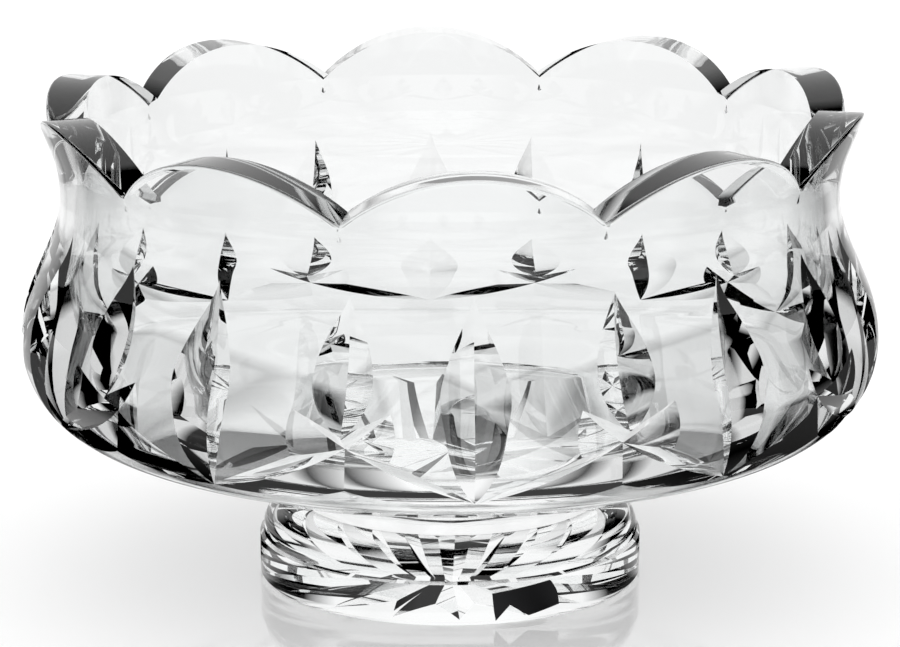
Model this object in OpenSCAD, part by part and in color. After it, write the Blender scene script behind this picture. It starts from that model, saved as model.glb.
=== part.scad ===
// Footed trifle bowl of thick cut crystal, standing on the XY plane with its axis on Z.
// One peak of the scalloped rim faces -Y. All lengths are millimetres and all angles degrees.
// Heights of the bowl's features count from its joint with the joining disc.

/* [Bowl outside] */
// Largest diameter, at the belly
belly_d = 240; // [236:0.5:244]
// Height of the belly
belly_h = 44.7; // [43:0.1:46]
// Height of the rim's peaks
bowl_h = 111.8; // [110:0.1:114]
// Radius of the belly's lower turn
low_turn_r = 24.5; // [23:0.1:26]
// Radius of the belly's upper turn
up_turn_r = 39; // [37:0.5:41]
// Lean of the shoulder above the belly, from upright
shoulder_lean = 23.5; // [22:0.1:25]
// Length of the straight shoulder
shoulder_l = 13.5; // [12.5:0.1:14.5]
// Radius of the hollow waist
waist_r = 35.4; // [34:0.1:37]
// Outward lean of the lip, from upright
lip_lean = 20.9; // [19:0.1:23]

/* [Bowl inside] */
// Inner diameter at the neck, the narrowest place under the mouth
neck_d = 202.8; // [200:0.2:204]
// Height of the neck
neck_h = 94.8; // [92:0.1:97]
// Outward lean of the inside wall above the neck, from upright
mouth_lean = 5; // [1:0.1:8]
// Wall thickness at the belly
belly_wall = 10; // [9.5:0.1:11]
// Radius of the inside's lower turn
in_low_turn_r = 22; // [20:0.5:24]
// Thickness of the glass at the middle of the floor
floor_wall = 11.8; // [10:0.1:13]

/* [Rim] */
// Number of scallops
scallops = 10; // [9:1:11]
// Radius of one scallop's arch
scallop_r = 48.5; // [47:0.5:50]

/* [Upright cuts] */
// Full angle of the mitred edge that every cut is ground with
mitre_angle = 120; // [118:0.5:122]
// Height of the long cuts' upper tips
long_top_h = 80.8; // [80:0.1:82]
// Height at which a long cut turns from its wheel's hollow to the belly's round
long_turn_h = 50.8; // [49:0.1:52]
// Depth of a long cut at that height
long_depth = 5.4; // [5:0.1:5.6]
// Lean of a long cut's path at that height
long_lean = 18; // [17:0.1:19]
// Height of the long cuts' lower tips
long_foot_h = 27.3; // [26.8:0.1:28]
// Height of the short cuts' upper tips
short_top_h = 79.8; // [79:0.1:81]
// Height of the short cuts' lower tips
short_foot_h = 45.1; // [44.5:0.1:46]
// Radius of the hollow that a short cut follows
short_path_r = 50; // [48:0.5:52]

/* [Slanting cuts] */
// Height at which two slanting cuts cross
cross_h = 41.6; // [41:0.1:42]
// Depth of the crossing
cross_depth = 5; // [4.7:0.1:5.2]
// Angle round the bowl from the low point between two scallops to the short cut and crossing there
cross_turn = 1.4; // [1:0.1:1.8]
// Height of the slanting cuts' upper tips
slant_top_h = 52.4; // [52:0.1:53]
// Angle round the bowl from a crossing to a slanting cut's upper tip
slant_top_turn = 6.2; // [5.8:0.1:6.6]
// Height of the slanting cuts' lower tips
slant_foot_h = 27.2; // [26.8:0.1:27.6]
// Downward tilt of the slanting cuts' mitre
slant_tilt = 26; // [24:0.5:28]

/* [Joining disc] */
// Diameter of the disc that joins the bowl and the foot
merese_d = 86; // [84:0.5:88]
// Thickness of the joining disc
merese_h = 2.55; // [2:0.05:4]

/* [Foot] */
// Largest diameter of the foot
foot_d = 108; // [106:0.5:112]
// Height of the foot, without the joining disc
foot_h = 22.65; // [21.5:0.05:24]
// Radius of the round shoulder on top of the foot
foot_shoulder_r = 10; // [9:0.1:10.8]
// Set-back of the shoulder from the foot's upright side
foot_step = 0.8; // [0.5:0.1:1.2]
// Size of the small polished bevel under the side
foot_bevel = 1; // [0.6:0.1:1.4]
// Number of rays in the star underneath
star_rays = 16; // [12:1:20]
// Length of one ray, from the middle
star_r = 44.7; // [42:0.1:46]
// Radius of the inner corners between the rays
star_corner_r = 22.4; // [18:0.1:28]
// Depth of the star in the middle
star_depth = 3.6; // [3:0.1:4]

/* [Label] */
// Length of the foil label along the foot's side
label_l = 20; // [17:0.5:22]
// Height of the label
label_h = 10; // [8:0.1:10.5]
// Thickness of the foil
label_t = 0.3; // [0.2:0.05:0.4]
// Height of the label's lowest tip above the table
label_foot_h = 1.1; // [1:0.05:1.2]
// Angle round the foot from the front to the label's middle
label_turn = 19.7; // [0:0.1:45]

/* [Hidden] */

// Steps in a full turn
fine = 180;
// Overrun of every cutter past what it cuts
over = 2;
// Depth of every mitre cutter, more than any cut needs
cutter_depth = 7;
// Length of the slanting mitre's flanks
flank_l = 13;

glass = "gainsboro";
foil = "dimgray";

// Radii and heights in the shared frame
belly_r = belly_d / 2;
neck_r = neck_d / 2;
merese_r = merese_d / 2;
foot_r = foot_d / 2;
bowl_z = foot_h + merese_h;
belly_z = bowl_z + belly_h;
rim_z = bowl_z + bowl_h;
neck_z = bowl_z + neck_h;
floor_z = bowl_z + floor_wall;
top_z = rim_z + over;
sector = 360 / scallops;
half_mitre = mitre_angle / 2;

// Angle of a flat vector, a level vector's point, and the angle that the overrun takes on a radius
function angle_of(v) = atan2(v.y, v.x);
function polar(r, a, z) = [r * cos(a), r * sin(a), z];
function spare(r) = over / r * 180 / PI;

// Outside of the bowl from the base up: slope, lower turn, upper turn, shoulder, waist and lip
low_c = [belly_r - low_turn_r, belly_z];
up_c = [belly_r - up_turn_r, belly_z];
base_to_low = low_c - [merese_r, bowl_z];
under_slope = angle_of(base_to_low) - asin(low_turn_r / norm(base_to_low));
low_start = low_c + low_turn_r * [sin(under_slope), -cos(under_slope)];
up_end = up_c + up_turn_r * [cos(shoulder_lean), sin(shoulder_lean)];
shoulder_end = up_end + shoulder_l * [-sin(shoulder_lean), cos(shoulder_lean)];
waist_c = shoulder_end + waist_r * [cos(shoulder_lean), sin(shoulder_lean)];
waist_end = waist_c + waist_r * [-cos(lip_lean), sin(lip_lean)];
lip_end = waist_end + (top_z - waist_end.y) * [tan(lip_lean), 1];

// Radius of the uncut skin at a height on the lower turn, the upper turn and the waist
function low_skin(z) = low_c.x + sqrt(low_turn_r ^ 2 - (z - belly_z) ^ 2);
function up_skin(z) = up_c.x + sqrt(up_turn_r ^ 2 - (z - belly_z) ^ 2);
function waist_skin(z) = waist_c.x - sqrt(waist_r ^ 2 - (z - waist_c.y) ^ 2);

// Inside of the bowl from the mouth down: a straight wall, two equal turns, then a lower turn into a shallow dish
in_belly_r = belly_r - belly_wall;
in_drop = in_belly_r - neck_r;
in_rise = neck_z - belly_z;
in_lean = 2 * atan2(in_drop, in_rise);
in_turn_r = in_rise / sin(in_lean) / 2;
in_up_c = [in_belly_r - in_turn_r, belly_z];
in_mid = in_up_c + in_turn_r * [cos(in_lean), sin(in_lean)];
neck_c = [neck_r + in_turn_r, neck_z];
neck_end = neck_c + in_turn_r * [-cos(mouth_lean), sin(mouth_lean)];
mouth_end = neck_end + (top_z + over - neck_end.y) * [tan(mouth_lean), 1];
in_low_c = [in_belly_r - in_low_turn_r, belly_z];
dish_rise = belly_z - floor_z;
dish_r = (in_low_c.x ^ 2 + dish_rise ^ 2 - in_low_turn_r ^ 2) / (2 * (dish_rise - in_low_turn_r));
dish_c = [0, floor_z + dish_r];
dish_end = dish_c + (in_low_c - dish_c) * dish_r / norm(in_low_c - dish_c);

// Part of a disc between two heights, on the outer side of the axis
module turn(c, r, low, high, steps) {
    intersection() {
        translate(c) circle(r = r, $fn = steps);
        translate([0, low]) square([belly_r + over, high - low]);
    }
}

module outside_shape() {
    difference() {
        union() {
            polygon([[0, bowl_z], [merese_r, bowl_z], low_start, [belly_r, belly_z], up_end, shoulder_end,
                waist_end, lip_end, [0, top_z]]);
            turn(low_c, low_turn_r, bowl_z, belly_z, fine);
            turn(up_c, up_turn_r, belly_z, belly_z + up_turn_r, fine);
        }
        translate(waist_c) circle(r = waist_r, $fn = fine);
    }
}

module inside_shape() {
    difference() {
        union() {
            polygon([[0, dish_end.y], dish_end, [in_belly_r, belly_z], in_mid, neck_end, mouth_end,
                [0, mouth_end.y]]);
            turn(dish_c, dish_r, 0, dish_end.y, 4 * fine);
            turn(in_low_c, in_low_turn_r, dish_end.y, belly_z, fine);
            turn(in_up_c, in_turn_r, belly_z, neck_z, 2 * fine);
        }
        translate(neck_c) circle(r = in_turn_r, $fn = 2 * fine);
    }
}

// All that is ground away above the scallops: a ring less the round arches that stay
scallop_z = rim_z - scallop_r;
ring_in = neck_r - over;
ring_out = lip_end.x + 2 * over;

module above_rim() {
    difference() {
        translate([0, 0, scallop_z]) rotate_extrude($fn = fine)
            translate([ring_in, 0]) square([ring_out - ring_in, scallop_r + 2 * over]);
        for (i = [0:scallops - 1]) rotate([0, 0, i * sector - 90]) translate([ring_in / 2, 0, scallop_z])
            rotate([0, 90, 0]) cylinder(r = scallop_r, h = ring_out, $fn = fine);
    }
}

// Mitred groove along an arc in the XY plane, open away from its centre or, with way -1, toward it
module groove(c, r, from, to, way) {
    translate(c) rotate([0, 0, from]) rotate_extrude(angle = to - from, $fn = fine)
        polygon([[r, 0], [r + way * cutter_depth, cutter_depth * tan(half_mitre)],
            [r + way * cutter_depth, -cutter_depth * tan(half_mitre)]]);
}

// A long cut's path: a hollow arc down to its turn, then a round arc to its lower tip
long_top = [waist_skin(bowl_z + long_top_h), bowl_z + long_top_h];
long_turn = [up_skin(bowl_z + long_turn_h) - long_depth, bowl_z + long_turn_h];
long_foot = [low_skin(bowl_z + long_foot_h), bowl_z + long_foot_h];
long_out = [cos(long_lean), sin(long_lean)];
long_hollow_r = norm(long_top - long_turn) ^ 2 / (2 * (long_top - long_turn) * long_out);
long_round_r = -norm(long_foot - long_turn) ^ 2 / (2 * (long_foot - long_turn) * long_out);
long_hollow_c = long_turn + long_hollow_r * long_out;
long_round_c = long_turn - long_round_r * long_out;

module hollow_cut() {
    rotate([90, 0, 0]) groove(long_hollow_c, long_hollow_r,
        180 + angle_of(long_hollow_c - long_top) - spare(long_hollow_r), 180 + long_lean, -1);
}

module round_cut() {
    rotate([90, 0, 0]) groove(long_round_c, long_round_r,
        angle_of(long_foot - long_round_c) - spare(long_round_r), long_lean, 1);
}

// A short cut's path: one hollow arc between its tips
short_top = [waist_skin(bowl_z + short_top_h), bowl_z + short_top_h];
short_foot = [up_skin(bowl_z + short_foot_h), bowl_z + short_foot_h];
short_chord = short_top - short_foot;
short_rise = sqrt(short_path_r ^ 2 - norm(short_chord) ^ 2 / 4);
short_c = (short_top + short_foot) / 2 + short_rise * [short_chord.y, -short_chord.x] / norm(short_chord);

module short_cut() {
    rotate([90, 0, 0]) groove(short_c, short_path_r,
        180 + angle_of(short_c - short_top) - spare(short_path_r),
        180 + angle_of(short_c - short_foot) + spare(short_path_r), -1);
}

// A slanting cut's path: the arc through its upper tip, the crossing and its lower tip
slant_top_z = bowl_z + slant_top_h;
slant_foot_z = bowl_z + slant_foot_h;

module slant_cut(side) {
    top = polar(up_skin(slant_top_z), -side * slant_top_turn, slant_top_z);
    middle = [belly_r - cross_depth, 0, bowl_z + cross_h];
    foot = polar(low_skin(slant_foot_z), side * sector / 2 - cross_turn, slant_foot_z);
    one = middle - top;
    two = foot - top;
    across = side * cross(one, two);
    centre = top + side * (cross(across, one) * norm(two) ^ 2 + cross(two, across) * norm(one) ^ 2)
        / (2 * norm(across) ^ 2);
    path_r = norm(top - centre);
    lean = atan2(-across.z, norm([across.x, across.y]));
    heading = atan2(across.y, across.x);
    level = [-sin(heading), cos(heading), 0];
    down = polar(sin(-lean), heading, -cos(lean));
    from = atan2((top - centre) * level, (top - centre) * down);
    to = atan2((foot - centre) * level, (foot - centre) * down);
    low_flank = half_mitre + slant_tilt - lean;
    high_flank = half_mitre - slant_tilt + lean;
    translate(centre) rotate([0, 90 + lean, heading])
        rotate([0, 0, min(from, to) - (from < to ? spare(path_r) : 0)])
            rotate_extrude(angle = abs(to - from) + spare(path_r), $fn = fine)
                polygon([[path_r, 0],
                    [path_r + flank_l * sin(low_flank), flank_l * cos(low_flank)],
                    [path_r + flank_l * sin(low_flank), flank_l * cos(high_flank)],
                    [path_r - flank_l * sin(high_flank), flank_l * cos(high_flank)]]);
}

// The uncut bowl with its rim ground to scallops and the upper part of the long cuts made
module bowl_cut_above() {
    difference() {
        rotate_extrude($fn = fine) difference() {
            outside_shape();
            inside_shape();
        }
        above_rim();
        for (i = [0:scallops - 1]) rotate([0, 0, i * sector - 90]) hollow_cut();
    }
}

module bowl() {
    color(glass) difference() {
        difference() {
            bowl_cut_above();
            for (i = [0:scallops - 1]) rotate([0, 0, i * sector - 90]) round_cut();
        }
        for (i = [0:scallops - 1]) rotate([0, 0, (i + 0.5) * sector + cross_turn - 90]) short_cut();
        for (i = [0:scallops - 1]) rotate([0, 0, (i + 0.5) * sector + cross_turn - 90]) {
            slant_cut(1);
            slant_cut(-1);
        }
    }
}

module merese() {
    color(glass) translate([0, 0, foot_h]) cylinder(r = merese_r, h = merese_h, $fn = fine);
}

// The foot: a bevelled side, a small step, a quarter round and a flat top
edge_z = foot_h - foot_shoulder_r;
shoulder_r = foot_r - foot_step;

// The star's outline, larger below the table by the overrun
star_grow = (star_depth + over) / star_depth;
star_points = [for (i = [0:2 * star_rays - 1]) let (a = i * 180 / star_rays)
    star_grow * (i % 2 == 0 ? star_r : star_corner_r) * [cos(a), sin(a)]];

module foot_shape() {
    polygon([[0, 0], [foot_r - foot_bevel, 0], [foot_r, foot_bevel], [foot_r, edge_z - foot_step],
        [shoulder_r, edge_z], [shoulder_r - foot_shoulder_r, foot_h], [0, foot_h]]);
    turn([shoulder_r - foot_shoulder_r, edge_z], foot_shoulder_r, edge_z, foot_h, fine);
}

module foot() {
    color(glass) difference() {
        rotate_extrude($fn = fine) foot_shape();
        translate([0, 0, -over]) linear_extrude(height = star_depth + over, scale = 0)
            polygon(star_points);
    }
}

// Outline of the label, as shares of its length and height
label_shares = [[0, 0.8], [0.86, 1], [0.97, 0.66], [1, 0.27], [0.52, 0.08], [0.25, 0.44], [0.04, 0]];
label_span = 360 * (label_l + 2 * over) / (2 * PI * foot_r);

module label() {
    color(foil) rotate([0, 0, label_turn - 90]) intersection() {
        rotate([0, 0, -label_span / 2]) rotate_extrude(angle = label_span, $fn = fine)
            translate([foot_r, label_foot_h]) square([label_t, label_h]);
        rotate([90, 0, 90]) linear_extrude(height = foot_r + over)
            translate([-label_l / 2, label_foot_h])
                polygon([for (p = label_shares) [p.x * label_l, p.y * label_h]]);
    }
}

bowl();
merese();
foot();
label();
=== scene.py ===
"""A footed trifle bowl of thick cut crystal, in white studio light."""

import math

import bmesh
import bpy
import numpy as np
from mathutils import Matrix, Vector


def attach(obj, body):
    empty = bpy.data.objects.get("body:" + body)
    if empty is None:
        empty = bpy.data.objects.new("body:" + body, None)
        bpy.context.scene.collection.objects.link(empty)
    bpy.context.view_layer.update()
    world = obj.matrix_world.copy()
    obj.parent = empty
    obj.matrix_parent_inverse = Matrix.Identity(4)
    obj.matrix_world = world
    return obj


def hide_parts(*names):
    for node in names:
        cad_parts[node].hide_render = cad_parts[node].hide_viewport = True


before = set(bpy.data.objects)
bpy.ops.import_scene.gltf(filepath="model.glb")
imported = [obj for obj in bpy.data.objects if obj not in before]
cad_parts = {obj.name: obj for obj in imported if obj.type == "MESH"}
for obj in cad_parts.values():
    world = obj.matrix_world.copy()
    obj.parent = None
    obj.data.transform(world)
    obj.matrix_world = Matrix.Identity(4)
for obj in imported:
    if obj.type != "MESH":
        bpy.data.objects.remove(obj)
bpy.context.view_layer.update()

MM = 0.001
RAD = math.radians

# Sizes in millimetres, heights from the table, as in the construction model but for the rim's arris
BELLY_R, BELLY_Z, BASE_R, BASE_Z, RIM_Z = 120.0, 69.9, 43.0, 25.2, 137.0
LOW_R, UP_R, SHOULDER_LEAN, SHOULDER_L, WAIST_R, LIP_LEAN = 24.5, 39.0, 23.5, 13.5, 35.4, 20.9
NECK_R, NECK_Z, MOUTH_LEAN, IN_BELLY_R, IN_LOW_R, FLOOR_Z = 101.4, 120.0, 5.0, 110.0, 22.0, 37.0
SCALLOPS, SCALLOP_R, ARRIS = 10, 48.5, 1.2
HALF_MITRE, CUTTER, FLANK = 60.0, 7.0, 13.0
LONG_TOP, LONG_TURN, LONG_FOOT, LONG_DEPTH, LONG_LEAN = 106.0, 76.0, 52.5, 5.4, 18.0
SHORT_TOP, SHORT_FOOT, SHORT_R = 105.0, 70.3, 50.0
CROSS_Z, CROSS_DEPTH, CROSS_TURN = 66.8, 5.0, 1.4
SLANT_TOP, SLANT_TURN, SLANT_FOOT, SLANT_TILT = 77.6, 6.2, 52.4, 26.0
FOOT_R, FOOT_Z, FOOT_ROUND, FOOT_STEP, FOOT_BEVEL = 54.0, 22.65, 10.0, 0.8, 1.0
STAR_RAYS, STAR_R, STAR_CORNER, STAR_DEPTH = 16, 44.7, 22.4, 3.6
LABEL_L, LABEL_H, LABEL_T, LABEL_LOW, LABEL_TURN = 20.0, 10.0, 0.3, 1.1, 19.7
SECTOR = 360 / SCALLOPS
OVER = 2.0

# Steps of the meshes
TURN_STEPS, SLICE_STEPS, CUT_STEP = 480, 48, 1.2
RIM_FLAT_STEPS, RIM_ROUND_STEPS, RIM_SHORT_STEPS, RIM_LONG_STEPS = 8, 4, 12, 36
LABEL_COLUMNS, LABEL_LEVELS = 40, 8

# Clearance between the foil and the foot, in millimetres
LABEL_GAP = 0.02

# Outline of the label as shares of its length and height
LABEL_TOP_SHARES = [(0, 0.8), (0.86, 1), (0.97, 0.66), (1, 0.27)]
LABEL_LOW_SHARES = [(0, 0.8), (0.04, 0), (0.25, 0.44), (0.52, 0.08), (1, 0.27)]

# A corner takes its surface's exact normal where its own flat face leans by less, in degrees
SMOOTH_TURN = 14

# The studio's white screens, in degrees of heading from +Y: the back one fades between its two values and
# the front one rises between them. Side ones, SIDE_APART from each other, fade away from their middles.
BACK_FROM, BACK_TO, FRONT_FROM, FRONT_TO = 30, 42, 150, 165
SIDE_APART, SIDE_FROM, SIDE_TO, SIDE_LEVEL = 45, 8, 15, 0.75
# The white patch under the foot, in metres from the axis
NEAR_FROM, NEAR_TO = 0.02, 0.06

# The camera, in metres and degrees
CAMERA_LENS, CAMERA_SENSOR = 156.14, 36
CAMERA_PLACE, CAMERA_DIP, CAMERA_TURN = (-0.05895, -1.06445, 0.33809), 14.03, -3.17
TABLE_HALF, TABLE_DROP = 4, 0.0002


def vec(*v):
    return np.array(v, float)


def polar(r, a, z):
    return vec(r * math.cos(RAD(a)), r * math.sin(RAD(a)), z)


def angle_of(v):
    return math.degrees(math.atan2(v[1], v[0]))


def spare(r):
    return math.degrees(OVER / r)


def turn_z(deg):
    return Matrix.Rotation(RAD(deg), 4, "Z")


# The bowl's profile as (radius, height), outside from the base up
low_c, up_c = vec(BELLY_R - LOW_R, BELLY_Z), vec(BELLY_R - UP_R, BELLY_Z)
base_to_low = low_c - vec(BASE_R, BASE_Z)
under = angle_of(base_to_low) - math.degrees(math.asin(LOW_R / np.linalg.norm(base_to_low)))
lean = vec(math.cos(RAD(SHOULDER_LEAN)), math.sin(RAD(SHOULDER_LEAN)))
low_start = low_c + LOW_R * vec(math.sin(RAD(under)), -math.cos(RAD(under)))
up_end = up_c + UP_R * lean
shoulder_end = up_end + SHOULDER_L * vec(-lean[1], lean[0])
waist_c = shoulder_end + WAIST_R * lean
waist_end = waist_c + WAIST_R * vec(-math.cos(RAD(LIP_LEAN)), math.sin(RAD(LIP_LEAN)))
TOP_Z = RIM_Z + OVER
lip_end = waist_end + (TOP_Z - waist_end[1]) * vec(math.tan(RAD(LIP_LEAN)), 1)

# Its inside: a shallow dish, a lower turn, two equal turns past the neck and a straight mouth
in_lean = 2 * math.degrees(math.atan2(IN_BELLY_R - NECK_R, NECK_Z - BELLY_Z))
in_r = (NECK_Z - BELLY_Z) / math.sin(RAD(in_lean)) / 2
in_up_c, neck_c = vec(IN_BELLY_R - in_r, BELLY_Z), vec(NECK_R + in_r, NECK_Z)
in_mid = in_up_c + in_r * vec(math.cos(RAD(in_lean)), math.sin(RAD(in_lean)))
neck_end = neck_c + in_r * vec(-math.cos(RAD(MOUTH_LEAN)), math.sin(RAD(MOUTH_LEAN)))
mouth_end = neck_end + (TOP_Z - neck_end[1]) * vec(math.tan(RAD(MOUTH_LEAN)), 1)
in_low_c = vec(IN_BELLY_R - IN_LOW_R, BELLY_Z)
dish_rise = BELLY_Z - FLOOR_Z
dish_r = (in_low_c[0] ** 2 + dish_rise ** 2 - IN_LOW_R ** 2) / (2 * (dish_rise - IN_LOW_R))
dish_c = vec(0, FLOOR_Z + dish_r)
dish_end = dish_c + (in_low_c - dish_c) * dish_r / np.linalg.norm(in_low_c - dish_c)


def arc(c, r, a0, a1, step):
    """Points on an arc of radius r about c, about one step of degrees apart."""
    n = max(2, int(round(abs(a1 - a0) / step)))
    turns = np.radians(np.linspace(a0, a1, n + 1))
    return [vec(c[0] + r * math.cos(t), c[1] + r * math.sin(t)) for t in turns]


def line(a, b, n):
    return [a + (b - a) * i / n for i in range(1, n + 1)]


def outside():
    pts = [vec(BASE_R, BASE_Z)]
    pts += line(pts[0], low_start, 8)
    pts += arc(low_c, LOW_R, under - 90, 0, 3)[1:]
    pts += arc(up_c, UP_R, 0, SHOULDER_LEAN, 2)[1:]
    pts += line(pts[-1], shoulder_end, 4)
    pts += arc(waist_c, WAIST_R, 180 + SHOULDER_LEAN, 180 - LIP_LEAN, 2)[1:]
    return pts + line(pts[-1], lip_end, 6)


def inside():
    pts = arc(dish_c, dish_r, -90, angle_of(dish_end - dish_c), 0.6)
    pts += arc(in_low_c, IN_LOW_R, angle_of(dish_end - in_low_c), 0, 4)[1:]
    pts += arc(in_up_c, in_r, 0, in_lean, 1.5)[1:]
    pts += arc(neck_c, in_r, 180 + in_lean, 180 - MOUTH_LEAN, 1.5)[1:]
    return pts + line(pts[-1], mouth_end, 4)


def low_skin(z):
    return low_c[0] + math.sqrt(LOW_R ** 2 - (z - BELLY_Z) ** 2)


def up_skin(z):
    return up_c[0] + math.sqrt(UP_R ** 2 - (z - BELLY_Z) ** 2)


def waist_skin(z):
    return waist_c[0] - math.sqrt(WAIST_R ** 2 - (z - waist_c[1]) ** 2)


def pick(steps):
    """Radial and upward parts of a normal from (where, radial, upward) steps, later ones on top."""
    n = np.zeros((len(steps[0][0]), 2))
    for where, a, b in steps:
        v = np.stack(np.broadcast_arrays(a, b, steps[0][0])[:2], 1).astype(float)
        n[where] = v[where]
    return n


def skin_normal(r, z):
    return pick([
        (z > 0, math.cos(RAD(LIP_LEAN)), -math.sin(RAD(LIP_LEAN))),
        (z < waist_end[1], waist_c[0] - r, waist_c[1] - z),
        (z < shoulder_end[1], lean[0], lean[1]),
        (z < up_end[1], r - up_c[0], z - up_c[1]),
        (z < BELLY_Z, r - low_c[0], z - low_c[1]),
        (z < low_start[1], math.sin(RAD(under)), -math.cos(RAD(under)))])


def inner_normal(r, z):
    return pick([
        (z > 0, -math.cos(RAD(MOUTH_LEAN)), math.sin(RAD(MOUTH_LEAN))),
        (z < neck_end[1], r - neck_c[0], z - neck_c[1]),
        (z < in_mid[1], in_up_c[0] - r, in_up_c[1] - z),
        (z < BELLY_Z, in_low_c[0] - r, in_low_c[1] - z),
        ((z < dish_end[1]) | (r < dish_end[0]), -r, dish_c[1] - z)])


# Every surface by the name that its faces carry through the cuts
SURFACES = {"skin": ("turned", skin_normal), "inside": ("turned", inner_normal)}


def surface_normals(name, p):
    """Normals at points of a named surface, in the slice's own position, or None for a flat or small one."""
    kind, *facts = SURFACES.get(name, ("flat",))
    if kind == "turned":
        r = np.hypot(p[:, 0], p[:, 1])
        n = facts[0](r, p[:, 2])
        r = np.maximum(r, 1e-6)
        return np.stack([n[:, 0] * p[:, 0] / r, n[:, 0] * p[:, 1] / r, n[:, 1]], 1)
    if kind == "cone":
        place, out, up = facts
        m = np.array(place)
        q = (p - m[:3, 3]) @ m[:3, :3]
        r = np.hypot(q[:, 0], q[:, 1])
        return np.stack([out * q[:, 0] / r, out * q[:, 1] / r, np.full(len(q), up)], 1) @ m[:3, :3].T
    if kind == "arch":
        u = polar(1, facts[0], 0)
        d = p - vec(0, 0, facts[1])
        return d - (d @ u)[:, None] * u
    return None


def arc_rows(loop, place, a0, a1, steps):
    """Copies of a loop of (radius, height) points, turned from a0 to a1 round an axis that place sets."""
    angles = [RAD(a0 + (a1 - a0) * i / steps) for i in range(steps + 1)]
    return [[place @ Vector((r * math.cos(a), r * math.sin(a), h)) for r, h in loop] for a in angles]


def skinned(rows, slot):
    """A closed mesh through rows of points. slot(i, j) is the surface between rows i and i + 1 on side j."""
    bm = bmesh.new()
    rows = [[bm.verts.new(p) for p in row] for row in rows]
    n = len(rows[0])
    for i in range(len(rows) - 1):
        for j in range(n):
            k = (j + 1) % n
            face = bm.faces.new((rows[i][j], rows[i + 1][j], rows[i + 1][k], rows[i][k]))
            face.material_index = slot(i, j)
    for row in (rows[0], rows[-1]):
        bm.faces.new(row).material_index = slot(0, n)
    bmesh.ops.recalc_face_normals(bm, faces=bm.faces)
    return bm


def material(name):
    return bpy.data.materials.get(name) or bpy.data.materials.new(name)


def to_object(bm, name, slots):
    bmesh.ops.scale(bm, vec=(MM, MM, MM), verts=bm.verts)
    me = bpy.data.meshes.new(name)
    bm.to_mesh(me)
    bm.free()
    for s in slots:
        me.materials.append(material(s))
    ob = bpy.data.objects.new(name, me)
    bpy.context.scene.collection.objects.link(ob)
    return ob


def groove_rows(name, c, r, a0, a1, way, heading):
    """Rows of a mitred groove in the upright plane at a heading, about a centre c as (radius, height)."""
    g = RAD(HALF_MITRE)
    loop = [(r + way * CUTTER, CUTTER * math.tan(g)), (r, 0.0), (r + way * CUTTER, -CUTTER * math.tan(g))]
    place = turn_z(heading) @ Matrix.Translation((c[0], 0, c[1])) @ Matrix.Rotation(RAD(90), 4, "X")
    SURFACES[name + "+"] = ("cone", place, way * math.sin(g), -math.cos(g))
    SURFACES[name + "-"] = ("cone", place, way * math.sin(g), math.cos(g))
    return arc_rows(loop, place, a0, a1, max(8, int(RAD(abs(a1 - a0)) * r / CUT_STEP)))


def long_cut(heading):
    """A long upright cut: a hollow arc down to its turn, then a round arc to its lower tip."""
    top, foot = vec(waist_skin(LONG_TOP), LONG_TOP), vec(low_skin(LONG_FOOT), LONG_FOOT)
    turn = vec(up_skin(LONG_TURN) - LONG_DEPTH, LONG_TURN)
    out = vec(math.cos(RAD(LONG_LEAN)), math.sin(RAD(LONG_LEAN)))
    r1 = np.dot(top - turn, top - turn) / (2 * np.dot(top - turn, out))
    r2 = -np.dot(foot - turn, foot - turn) / (2 * np.dot(foot - turn, out))
    c1, c2 = turn + r1 * out, turn - r2 * out
    a = groove_rows("hollow", c1, r1, angle_of(top - c1) % 360 - spare(r1), 180 + LONG_LEAN, -1, heading)
    b = groove_rows("round", c2, r2, LONG_LEAN, angle_of(foot - c2) - spare(r2), 1, heading)
    turn_row = len(a) - 1
    bm = skinned(a + b[1:], lambda i, j: 4 if j > 1 else j + (0 if i < turn_row else 2))
    return to_object(bm, "long", ["hollow+", "hollow-", "round+", "round-", "cutter"])


def short_cut(heading):
    """A short upright cut: one hollow arc between its tips."""
    top, foot = vec(waist_skin(SHORT_TOP), SHORT_TOP), vec(up_skin(SHORT_FOOT), SHORT_FOOT)
    ch = top - foot
    c = (top + foot) / 2 + math.sqrt(SHORT_R ** 2 - ch @ ch / 4) * vec(ch[1], -ch[0]) / np.linalg.norm(ch)
    a0, a1 = angle_of(top - c) % 360 - spare(SHORT_R), angle_of(foot - c) % 360 + spare(SHORT_R)
    rows = groove_rows("short", c, SHORT_R, a0, a1, -1, heading)
    return to_object(skinned(rows, lambda i, j: min(j, 2)), "short", ["short+", "short-", "cutter"])


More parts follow.
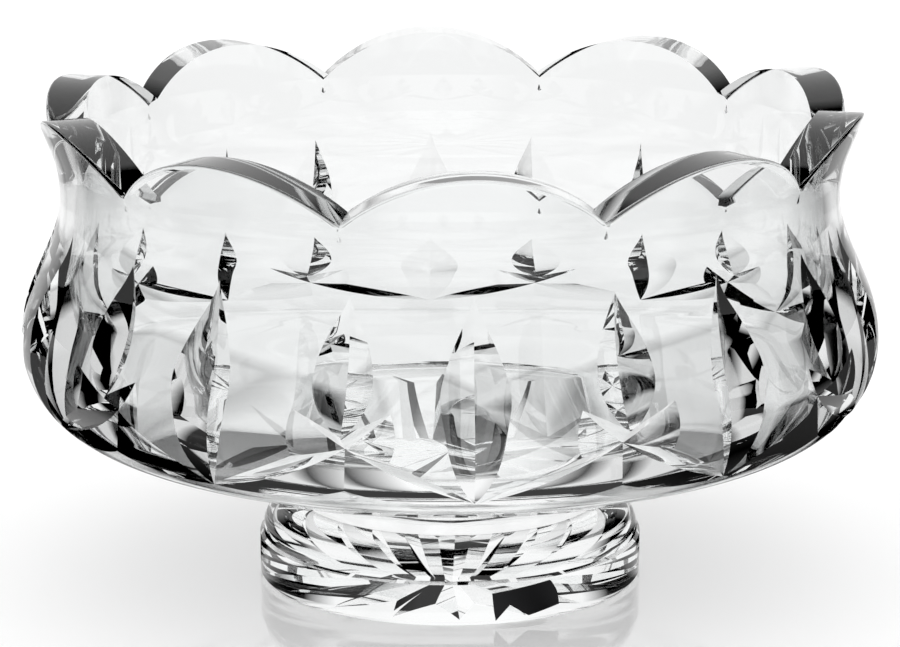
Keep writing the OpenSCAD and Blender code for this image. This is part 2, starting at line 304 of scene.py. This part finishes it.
def slant_cut(side, heading, tag):
    """A slanting cut: the arc through its upper tip, the crossing and its lower tip, mitre tilted down."""
    top = polar(up_skin(SLANT_TOP), -side * SLANT_TURN, SLANT_TOP)
    mid = vec(BELLY_R - CROSS_DEPTH, 0, CROSS_Z)
    foot = polar(low_skin(SLANT_FOOT), side * SECTOR / 2 - CROSS_TURN, SLANT_FOOT)
    one, two = mid - top, foot - top
    across = side * np.cross(one, two)
    centre = top + side * (np.cross(across, one) * (two @ two) + np.cross(two, across) * (one @ one)) \
        / (2 * across @ across)
    r = np.linalg.norm(top - centre)
    tip = math.degrees(math.atan2(-across[2], math.hypot(across[0], across[1])))
    head = angle_of(across)
    level = vec(-math.sin(RAD(head)), math.cos(RAD(head)), 0)
    down = polar(math.sin(RAD(-tip)), head, -math.cos(RAD(tip)))
    a0, a1 = (math.degrees(math.atan2((p - centre) @ level, (p - centre) @ down)) for p in (top, foot))
    low, high = RAD(HALF_MITRE + SLANT_TILT - tip), RAD(HALF_MITRE - SLANT_TILT + tip)
    p1 = (r + FLANK * math.sin(low), FLANK * math.cos(low))
    p3 = (r - FLANK * math.sin(high), FLANK * math.cos(high))
    start, span = min(a0, a1) - (spare(r) if a0 < a1 else 0), abs(a1 - a0) + spare(r)
    place = turn_z(heading) @ Matrix.Translation(Vector(centre)) @ turn_z(head)
    place = place @ Matrix.Rotation(RAD(90 + tip), 4, "Y")
    steps = max(8, int(RAD(span) * r / CUT_STEP))
    rows = arc_rows([p1, (r, 0.0), p3, (p1[0], p3[1])], place, start, start + span, steps)
    names = [tag + "+", tag + "-", "cutter"]
    SURFACES[names[0]] = ("cone", place, -math.cos(low), math.sin(low))
    SURFACES[names[1]] = ("cone", place, math.cos(high), math.sin(high))
    return to_object(skinned(rows, lambda i, j: min(j, 2)), tag, names)


def rim_cut(lo, hi):
    """What is ground away above the scallops between two angles, with a polished round on the outer edge."""
    z0, half = RIM_Z - SCALLOP_R, SECTOR / 2

    def arch(r, bend):
        return z0 + math.sqrt(SCALLOP_R ** 2 - (r * bend) ** 2)

    tilt = math.tan(RAD(LIP_LEAN))
    inner, outer, top = NECK_R - 2 * OVER, lip_end[0] + 2.5 * OVER, TOP_Z + 1.5 * OVER
    headings = [lo, *np.linspace(lo + 1, 0, RIM_SHORT_STEPS + 1)]
    headings += [*np.linspace(0, hi - 1, RIM_LONG_STEPS + 1)[1:], hi]
    rows = []
    for a in headings:
        bend = math.sin(RAD(a - (-half if a < 0 else half)))
        edge = lip_end[0]
        for _ in range(30):
            edge = waist_end[0] + (arch(edge, bend) - waist_end[1]) * tilt
        start, peak = vec(edge - ARRIS, arch(edge - ARRIS, bend)), vec(edge, arch(edge, bend))
        end = peak - ARRIS * vec(tilt, 1)
        pts = [vec(r, arch(r, bend)) for r in np.linspace(inner, start[0], RIM_FLAT_STEPS + 1)]
        for t in np.linspace(0, 1, RIM_ROUND_STEPS + 1)[1:]:
            pts.append((1 - t) ** 2 * start + 2 * t * (1 - t) * peak + t * t * end)
        pts.append(pts[-1] + 3 * (pts[-1] - pts[-2]) / np.linalg.norm(pts[-1] - pts[-2]))
        pts += [vec(outer, pts[-1][1]), vec(outer, top), vec(inner, top)]
        rows.append([Vector(polar(r, a, z)) for r, z in pts])

    def surface(i, j):
        if j > RIM_FLAT_STEPS + RIM_ROUND_STEPS:
            return 4
        return (0 if j < RIM_FLAT_STEPS else 2) + (0 if i <= RIM_SHORT_STEPS else 1)

    SURFACES["arch-"], SURFACES["arch+"] = ("arch", -half, z0), ("arch", half, z0)
    SURFACES["arris-"] = SURFACES["arris+"] = ("round",)
    return to_object(skinned(rows, surface), "rim", ["arch-", "arch+", "arris-", "arris+", "cutter"])


def slice_of_bowl(lo, hi, steps):
    """One closed slice of the uncut bowl between two angles."""
    out, ins = outside(), inside()
    bm = bmesh.new()
    rows = []
    for a in np.linspace(lo, hi, steps + 1):
        rows.append([[bm.verts.new(polar(r, a, z)) for r, z in pts] for pts in (out, ins[1:])])
    foot, floor = bm.verts.new((0, 0, BASE_Z)), bm.verts.new((0, 0, FLOOR_Z))
    for (o0, i0), (o1, i1) in zip(rows, rows[1:]):
        for j in range(len(o0) - 1):
            bm.faces.new((o0[j], o1[j], o1[j + 1], o0[j + 1])).material_index = 0
        for j in range(len(i0) - 1):
            bm.faces.new((i0[j], i0[j + 1], i1[j + 1], i1[j])).material_index = 1
        bm.faces.new((floor, i0[0], i1[0])).material_index = 1
        bm.faces.new((foot, o1[0], o0[0])).material_index = 2
        bm.faces.new((o0[-1], o1[-1], i1[-1], i0[-1])).material_index = 3
    for o, i in (rows[0], rows[-1]):
        bm.faces.new([foot] + o + i[::-1] + [floor]).material_index = 4
    bmesh.ops.recalc_face_normals(bm, faces=bm.faces)
    return to_object(bm, "slice", ["skin", "inside", "base", "lip", "side"])


def cut_away(ob, cutters):
    """The mesh of ob after the cutters have ground it, and the names of its surfaces."""
    for c in cutters:
        m = ob.modifiers.new("cut", "BOOLEAN")
        m.operation, m.object, m.solver, m.material_mode = "DIFFERENCE", c, "EXACT", "TRANSFER"
    me = bpy.data.meshes.new_from_object(ob.evaluated_get(bpy.context.evaluated_depsgraph_get()))
    names = [m.name for m in me.materials]
    for c in [*cutters, ob]:
        bpy.data.objects.remove(c)
    return me, names


def set_normals(me, names, copies, turn):
    """Exact normals at every corner, except where a face leans too far from its surface and keeps its own."""
    loops, polys = len(me.loops), len(me.polygons)
    verts = np.empty(len(me.vertices) * 3)
    me.vertices.foreach_get("co", verts)
    corner, start, total, kind = (np.empty(n, int) for n in (loops, polys, polys, polys))
    flat = np.empty(polys * 3)
    me.loops.foreach_get("vertex_index", corner)
    me.polygons.foreach_get("loop_start", start)
    me.polygons.foreach_get("loop_total", total)
    me.polygons.foreach_get("material_index", kind)
    me.polygons.foreach_get("normal", flat)
    area = np.empty(polys)
    me.polygons.foreach_get("area", area)
    order = np.argsort(start)
    face = np.empty(loops, int)
    face[:] = np.repeat(order, total[order])
    flat = flat.reshape(-1, 3)[face]
    points = verts.reshape(-1, 3)[corner] / MM
    out = flat.copy()
    for copy in range(SCALLOPS):
        back = np.array(turn_z(turn + copy * SECTOR))[:3, :3]
        for k, name in enumerate(names):
            at = (copies[face] == copy) & (kind[face] == k)
            n = surface_normals(name, points[at] @ back) if at.any() else None
            if n is not None:
                n = (n / np.linalg.norm(n, axis=1)[:, None]) @ back.T
                side = np.sum(n * flat[at], 1)
                n[side < 0] *= -1
                near = np.abs(side) > math.cos(RAD(SMOOTH_TURN))
                out[at] = np.where(near[:, None], n, flat[at])
    rounds = np.isin(kind[face], [k for k, name in enumerate(names) if SURFACES.get(name) == ("round",)])
    mean, fixed = np.zeros((len(me.vertices), 3)), np.zeros((len(me.vertices), 3))
    np.add.at(mean, corner[rounds], flat[rounds] * area[face][rounds][:, None])
    beside = ~rounds & np.isin(corner, corner[rounds])
    fixed[corner[beside]] = out[beside]
    for n in (mean, fixed):
        n /= np.maximum(np.linalg.norm(n, axis=1), 1e-12)[:, None]
    blend = np.where(np.abs(fixed[corner]).sum(1)[:, None] > 0, fixed[corner], mean[corner])
    out[rounds] = blend[rounds]
    me.polygons.foreach_set("use_smooth", np.ones(polys, bool))
    me.normals_split_custom_set(out.tolist())


def make_bowl(glass, seam):
    """The bowl: one slice is cut, then ten copies of it are turned into place and joined."""
    lo, hi, turn = -SECTOR / 4, SECTOR * 3 / 4, SECTOR / 2 - 90
    cutters = [rim_cut(lo - 0.5, hi + 0.5), long_cut(SECTOR / 2), short_cut(CROSS_TURN)]
    cutters += [slant_cut(1, CROSS_TURN, "slant a"), slant_cut(-1, CROSS_TURN, "slant b")]
    cutters += [slant_cut(-1, CROSS_TURN + SECTOR, "slant c")]
    me, names = cut_away(slice_of_bowl(lo, hi, SLICE_STEPS), cutters)
    bm = bmesh.new()
    bm.from_mesh(me)
    copy_layer = bm.faces.layers.int.new("copy")
    bmesh.ops.delete(bm, geom=[f for f in bm.faces if names[f.material_index] == "side"], context="FACES")
    geom = bm.verts[:] + bm.edges[:] + bm.faces[:]
    for i in range(1, SCALLOPS):
        new = bmesh.ops.duplicate(bm, geom=geom)["geom"]
        for f in new:
            if isinstance(f, bmesh.types.BMFace):
                f[copy_layer] = i
        verts = [v for v in new if isinstance(v, bmesh.types.BMVert)]
        bmesh.ops.rotate(bm, verts=verts, cent=(0, 0, 0), matrix=turn_z(i * SECTOR).to_3x3())
    bmesh.ops.remove_doubles(bm, verts=bm.verts, dist=2e-6)
    bmesh.ops.rotate(bm, verts=bm.verts, cent=(0, 0, 0), matrix=turn_z(turn).to_3x3())
    bm.to_mesh(me)
    bm.free()
    copies = np.empty(len(me.polygons), int)
    me.attributes["copy"].data.foreach_get("value", copies)
    set_normals(me, names, copies, turn)
    base = names.index("base")
    kinds = np.empty(len(me.polygons), int)
    me.polygons.foreach_get("material_index", kinds)
    me.materials.clear()
    me.materials.append(glass)
    me.materials.append(seam)
    me.polygons.foreach_set("material_index", (kinds == base).astype(int))
    me.attributes.remove(me.attributes["copy"])
    ob = bpy.data.objects.new("cut_crystal_bowl", me)
    bpy.context.scene.collection.objects.link(ob)
    return ob


def turned(name, profile, slots, seams):
    """A closed turned piece from a profile of (radius, height) that starts and ends on the axis."""
    bm = bmesh.new()
    rings = []
    for r, z in profile:
        if r == 0:
            rings.append([bm.verts.new((0, 0, z))] * TURN_STEPS)
        else:
            rings.append([bm.verts.new(polar(r, 360 * i / TURN_STEPS, z)) for i in range(TURN_STEPS)])
    for k, (a, b) in enumerate(zip(rings, rings[1:])):
        for i in range(TURN_STEPS):
            j = (i + 1) % TURN_STEPS
            corners = list(dict.fromkeys((a[i], a[j], b[j], b[i])))
            bm.faces.new(corners).material_index = 1 if k in seams else 0
    bmesh.ops.recalc_face_normals(bm, faces=bm.faces)
    ob = to_object(bm, name, [])
    for s in slots:
        ob.data.materials.append(s)
    return ob


def smooth_below(ob, degrees):
    """Smooth shading with sharp edges where two faces turn by more than an angle."""
    ob.data.polygons.foreach_set("use_smooth", np.ones(len(ob.data.polygons), bool))
    ob.data.set_sharp_from_angle(angle=RAD(degrees))


def make_foot(glass, seam):
    """The pressed foot, with the star ground into its underside."""
    edge_z, round_r = FOOT_Z - FOOT_ROUND, FOOT_R - FOOT_STEP - FOOT_ROUND
    profile = [(0, 0), (FOOT_R - FOOT_BEVEL, 0), (FOOT_R, FOOT_BEVEL), (FOOT_R, edge_z - FOOT_STEP)]
    profile += [tuple(p) for p in arc((round_r, edge_z), FOOT_ROUND, 0, 90, 6)]
    profile += [(BASE_R, FOOT_Z), (0, FOOT_Z)]
    body = turned("foot", profile, [glass, seam], [len(profile) - 2])
    grow = (STAR_DEPTH + OVER) / STAR_DEPTH
    bm = bmesh.new()
    tip = bm.verts.new((0, 0, STAR_DEPTH))
    rim = []
    for i in range(2 * STAR_RAYS):
        r = STAR_CORNER if i % 2 else STAR_R
        rim.append(bm.verts.new(polar(grow * r, 180 * i / STAR_RAYS, -OVER)))
    for i in range(2 * STAR_RAYS):
        bm.faces.new((tip, rim[i], rim[(i + 1) % (2 * STAR_RAYS)]))
    bm.faces.new(rim)
    bmesh.ops.recalc_face_normals(bm, faces=bm.faces)
    star = to_object(bm, "star", [])
    star.data.materials.append(glass)
    me, names = cut_away(body, [star])
    me.name = "foot"
    ob = bpy.data.objects.new("star_cut_foot", me)
    bpy.context.scene.collection.objects.link(ob)
    smooth_below(ob, 20)
    return ob


def make_merese(glass, seam):
    profile = [(0, FOOT_Z), (BASE_R, FOOT_Z), (BASE_R, BASE_Z), (0, BASE_Z)]
    ob = turned("joining_disc", profile, [glass, seam], [0, 2])
    smooth_below(ob, 20)
    return ob


def make_label(foil):
    """The foil label: upright columns between its upper and lower outline, bent round the foot's side."""
    bm = bmesh.new()
    rows = []
    for t in np.linspace(0, 1, LABEL_COLUMNS + 1):
        high = np.interp(t, *zip(*LABEL_TOP_SHARES))
        low = np.interp(t, *zip(*LABEL_LOW_SHARES))
        a = LABEL_TURN - 90 + math.degrees((t - 0.5) * LABEL_L / FOOT_R)
        levels = LABEL_LOW + LABEL_H * np.linspace(low, max(high, low + 0.001), LABEL_LEVELS + 1)
        faces = (FOOT_R + LABEL_GAP, FOOT_R + LABEL_T)
        rows.append([[bm.verts.new(polar(r, a, z)) for z in levels] for r in faces])
    for (i0, o0), (i1, o1) in zip(rows, rows[1:]):
        for j in range(LABEL_LEVELS):
            bm.faces.new((o0[j], o1[j], o1[j + 1], o0[j + 1]))
            bm.faces.new((i0[j + 1], i1[j + 1], i1[j], i0[j]))
        bm.faces.new((i0[0], i1[0], o1[0], o0[0]))
        bm.faces.new((o0[-1], o1[-1], i1[-1], i0[-1]))
    for i, o in (rows[0], rows[-1]):
        bm.faces.new([*i, *o[::-1]])
    bmesh.ops.recalc_face_normals(bm, faces=bm.faces)
    ob = to_object(bm, "foil_label", [])
    ob.data.materials.append(foil)
    smooth_below(ob, 30)
    return ob


def colour(text):
    """sRGB hex to linear."""
    parts = [int(text[i:i + 2], 16) / 255 for i in (1, 3, 5)]
    return (*(c / 12.92 if c <= 0.04045 else ((c + 0.055) / 1.055) ** 2.4 for c in parts), 1)


def node(tree, kind, settings=None, inputs=None):
    """Adds a node. settings are its properties, inputs its values or the sockets that feed it."""
    n = tree.nodes.new(kind)
    for k, v in (settings or {}).items():
        setattr(n, k, v)
    for k, v in (inputs or {}).items():
        if isinstance(v, bpy.types.NodeSocket):
            tree.links.new(v, n.inputs[k])
        else:
            n.inputs[k].default_value = v
    return n


def fresh(name):
    m = bpy.data.materials.new(name)
    m.use_nodes = True
    m.node_tree.nodes.clear()
    return m, m.node_tree


def crystal():
    """Lead crystal, ground and acid-polished: clear to the core, with a strong bend and sparkle at cuts."""
    m, t = fresh("lead crystal, ground and acid-polished")
    b = node(t, "ShaderNodeBsdfPrincipled", {}, {
        "Base Color": colour("#fdfefe"), "Roughness": 0.0, "IOR": 1.55, "Transmission Weight": 1.0})
    node(t, "ShaderNodeOutputMaterial", {}, {"Surface": b.outputs[0]})
    return m


def hot_seam():
    """Where two gathers of glass were joined hot, no surface is left to see."""
    m, t = fresh("crystal seam, joined hot")
    b = node(t, "ShaderNodeBsdfTransparent", {}, {"Color": colour("#ffffff")})
    node(t, "ShaderNodeOutputMaterial", {}, {"Surface": b.outputs[0]})
    return m


def foil():
    """Thin aluminium foil, lacquered black: dark, with a dull metal shine."""
    m, t = fresh("aluminium foil, embossed and lacquered black")
    b = node(t, "ShaderNodeBsdfPrincipled", {}, {
        "Base Color": colour("#1c1c1e"), "Metallic": 0.6, "Roughness": 0.42})
    node(t, "ShaderNodeOutputMaterial", {}, {"Surface": b.outputs[0]})
    return m


def ramp(t, value, lo, hi, at_lo, at_hi):
    return node(t, "ShaderNodeMapRange", {"clamp": True}, {
        "Value": value, "From Min": lo, "From Max": hi, "To Min": at_lo, "To Max": at_hi}).outputs[0]


def maths(t, kind, a, b=0.0):
    return node(t, "ShaderNodeMath", {"operation": kind}, {0: a, 1: b}).outputs[0]


def screens(t, x, y):
    """The studio's brightness by heading as glass sees it: a wide white screen behind, narrower ones
    all round, and dark gaps between them."""
    heading = maths(t, "ARCTAN2", maths(t, "ABSOLUTE", x), y)
    back = ramp(t, heading, RAD(BACK_FROM), RAD(BACK_TO), 1.0, 0.0)
    front = ramp(t, heading, RAD(FRONT_FROM), RAD(FRONT_TO), 0.0, 1.0)
    aside = maths(t, "PINGPONG", heading, RAD(SIDE_APART / 2))
    side = ramp(t, aside, RAD(SIDE_FROM), RAD(SIDE_TO), SIDE_LEVEL, 0.0)
    return back, maths(t, "MAXIMUM", maths(t, "MAXIMUM", back, front), side)


def table_top():
    """White laminate, lightly glossy: it keeps a soft shadow and a faint reflection of the foot.
    Through the glass it continues the white screens and the dark gaps, with a white patch under the foot."""
    m, t = fresh("white laminate, lightly glossy")
    b = node(t, "ShaderNodeBsdfPrincipled", {}, {
        "Base Color": colour("#ececec"), "Roughness": 0.05, "IOR": 1.6,
        "Emission Color": colour("#ffffff"), "Emission Strength": 0.3})
    place = node(t, "ShaderNodeNewGeometry").outputs["Position"]
    x, y, height = node(t, "ShaderNodeSeparateXYZ", {}, {0: place}).outputs
    far = node(t, "ShaderNodeVectorMath", {"operation": "LENGTH"}, {0: place}).outputs["Value"]
    near = ramp(t, far, NEAR_FROM, NEAR_TO, 1.0, 0.0)
    level = maths(t, "MAXIMUM", near, screens(t, x, y)[1])
    seen = node(t, "ShaderNodeEmission", {}, {"Color": colour("#ffffff"), "Strength": level})
    path = node(t, "ShaderNodeLightPath")
    through = maths(t, "MAXIMUM", path.outputs["Is Transmission Ray"], path.outputs["Is Glossy Ray"])
    both = node(t, "ShaderNodeMixShader", {}, {0: through, 1: b.outputs[0], 2: seen.outputs[0]})
    node(t, "ShaderNodeOutputMaterial", {}, {"Surface": both.outputs[0]})
    return m


def make_world():
    """White all round for the camera and for dull surfaces, and the screens for glass."""
    w = bpy.data.worlds.new("white studio")
    bpy.context.scene.world = w
    w.use_nodes = True
    t = w.node_tree
    t.nodes.clear()
    where = node(t, "ShaderNodeTexCoord").outputs["Generated"]
    x, y, height = node(t, "ShaderNodeSeparateXYZ", {}, {0: where}).outputs
    back, around = screens(t, x, y)
    path = node(t, "ShaderNodeLightPath")
    glossy = path.outputs["Is Glossy Ray"]
    level = node(t, "ShaderNodeMix", {"data_type": "FLOAT"}, {0: glossy, 2: around, 3: back}).outputs[0]
    plain = maths(t, "MAXIMUM", path.outputs["Is Camera Ray"], path.outputs["Is Diffuse Ray"])
    level = node(t, "ShaderNodeMix", {"data_type": "FLOAT"}, {0: plain, 2: level, 3: 1.0}).outputs[0]
    bg = node(t, "ShaderNodeBackground", {}, {"Color": colour("#ffffff"), "Strength": level})
    node(t, "ShaderNodeOutputWorld", {}, {"Surface": bg.outputs[0]})


def make_table():
    me = bpy.data.meshes.new("table")
    h = TABLE_HALF
    corners = [(x, y, -TABLE_DROP) for x, y in ((-h, -h), (h, -h), (h, h), (-h, h))]
    me.from_pydata(corners, [], [(0, 1, 2, 3)])
    ob = bpy.data.objects.new("white_table", me)
    me.materials.append(table_top())
    bpy.context.scene.collection.objects.link(ob)
    return ob


def make_camera():
    cam = bpy.data.cameras.new("camera")
    cam.lens, cam.sensor_width, cam.clip_start = CAMERA_LENS, CAMERA_SENSOR, 0.01
    ob = bpy.data.objects.new("camera", cam)
    ob.location = CAMERA_PLACE
    ob.rotation_euler = (RAD(90 - CAMERA_DIP), 0, RAD(CAMERA_TURN))
    bpy.context.scene.collection.objects.link(ob)
    bpy.context.scene.camera = ob


bpy.context.scene.view_settings.view_transform = "Standard"
glass, seam = crystal(), hot_seam()
for ob, part in ((make_bowl(glass, seam), "bowl"), (make_merese(glass, seam), "merese"),
                 (make_foot(glass, seam), "foot"), (make_label(foil()), "label")):
    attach(ob, "root")
    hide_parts(part)
for m in list(bpy.data.materials):
    if m.users == 0:
        bpy.data.materials.remove(m)
make_table()
make_world()
make_camera()
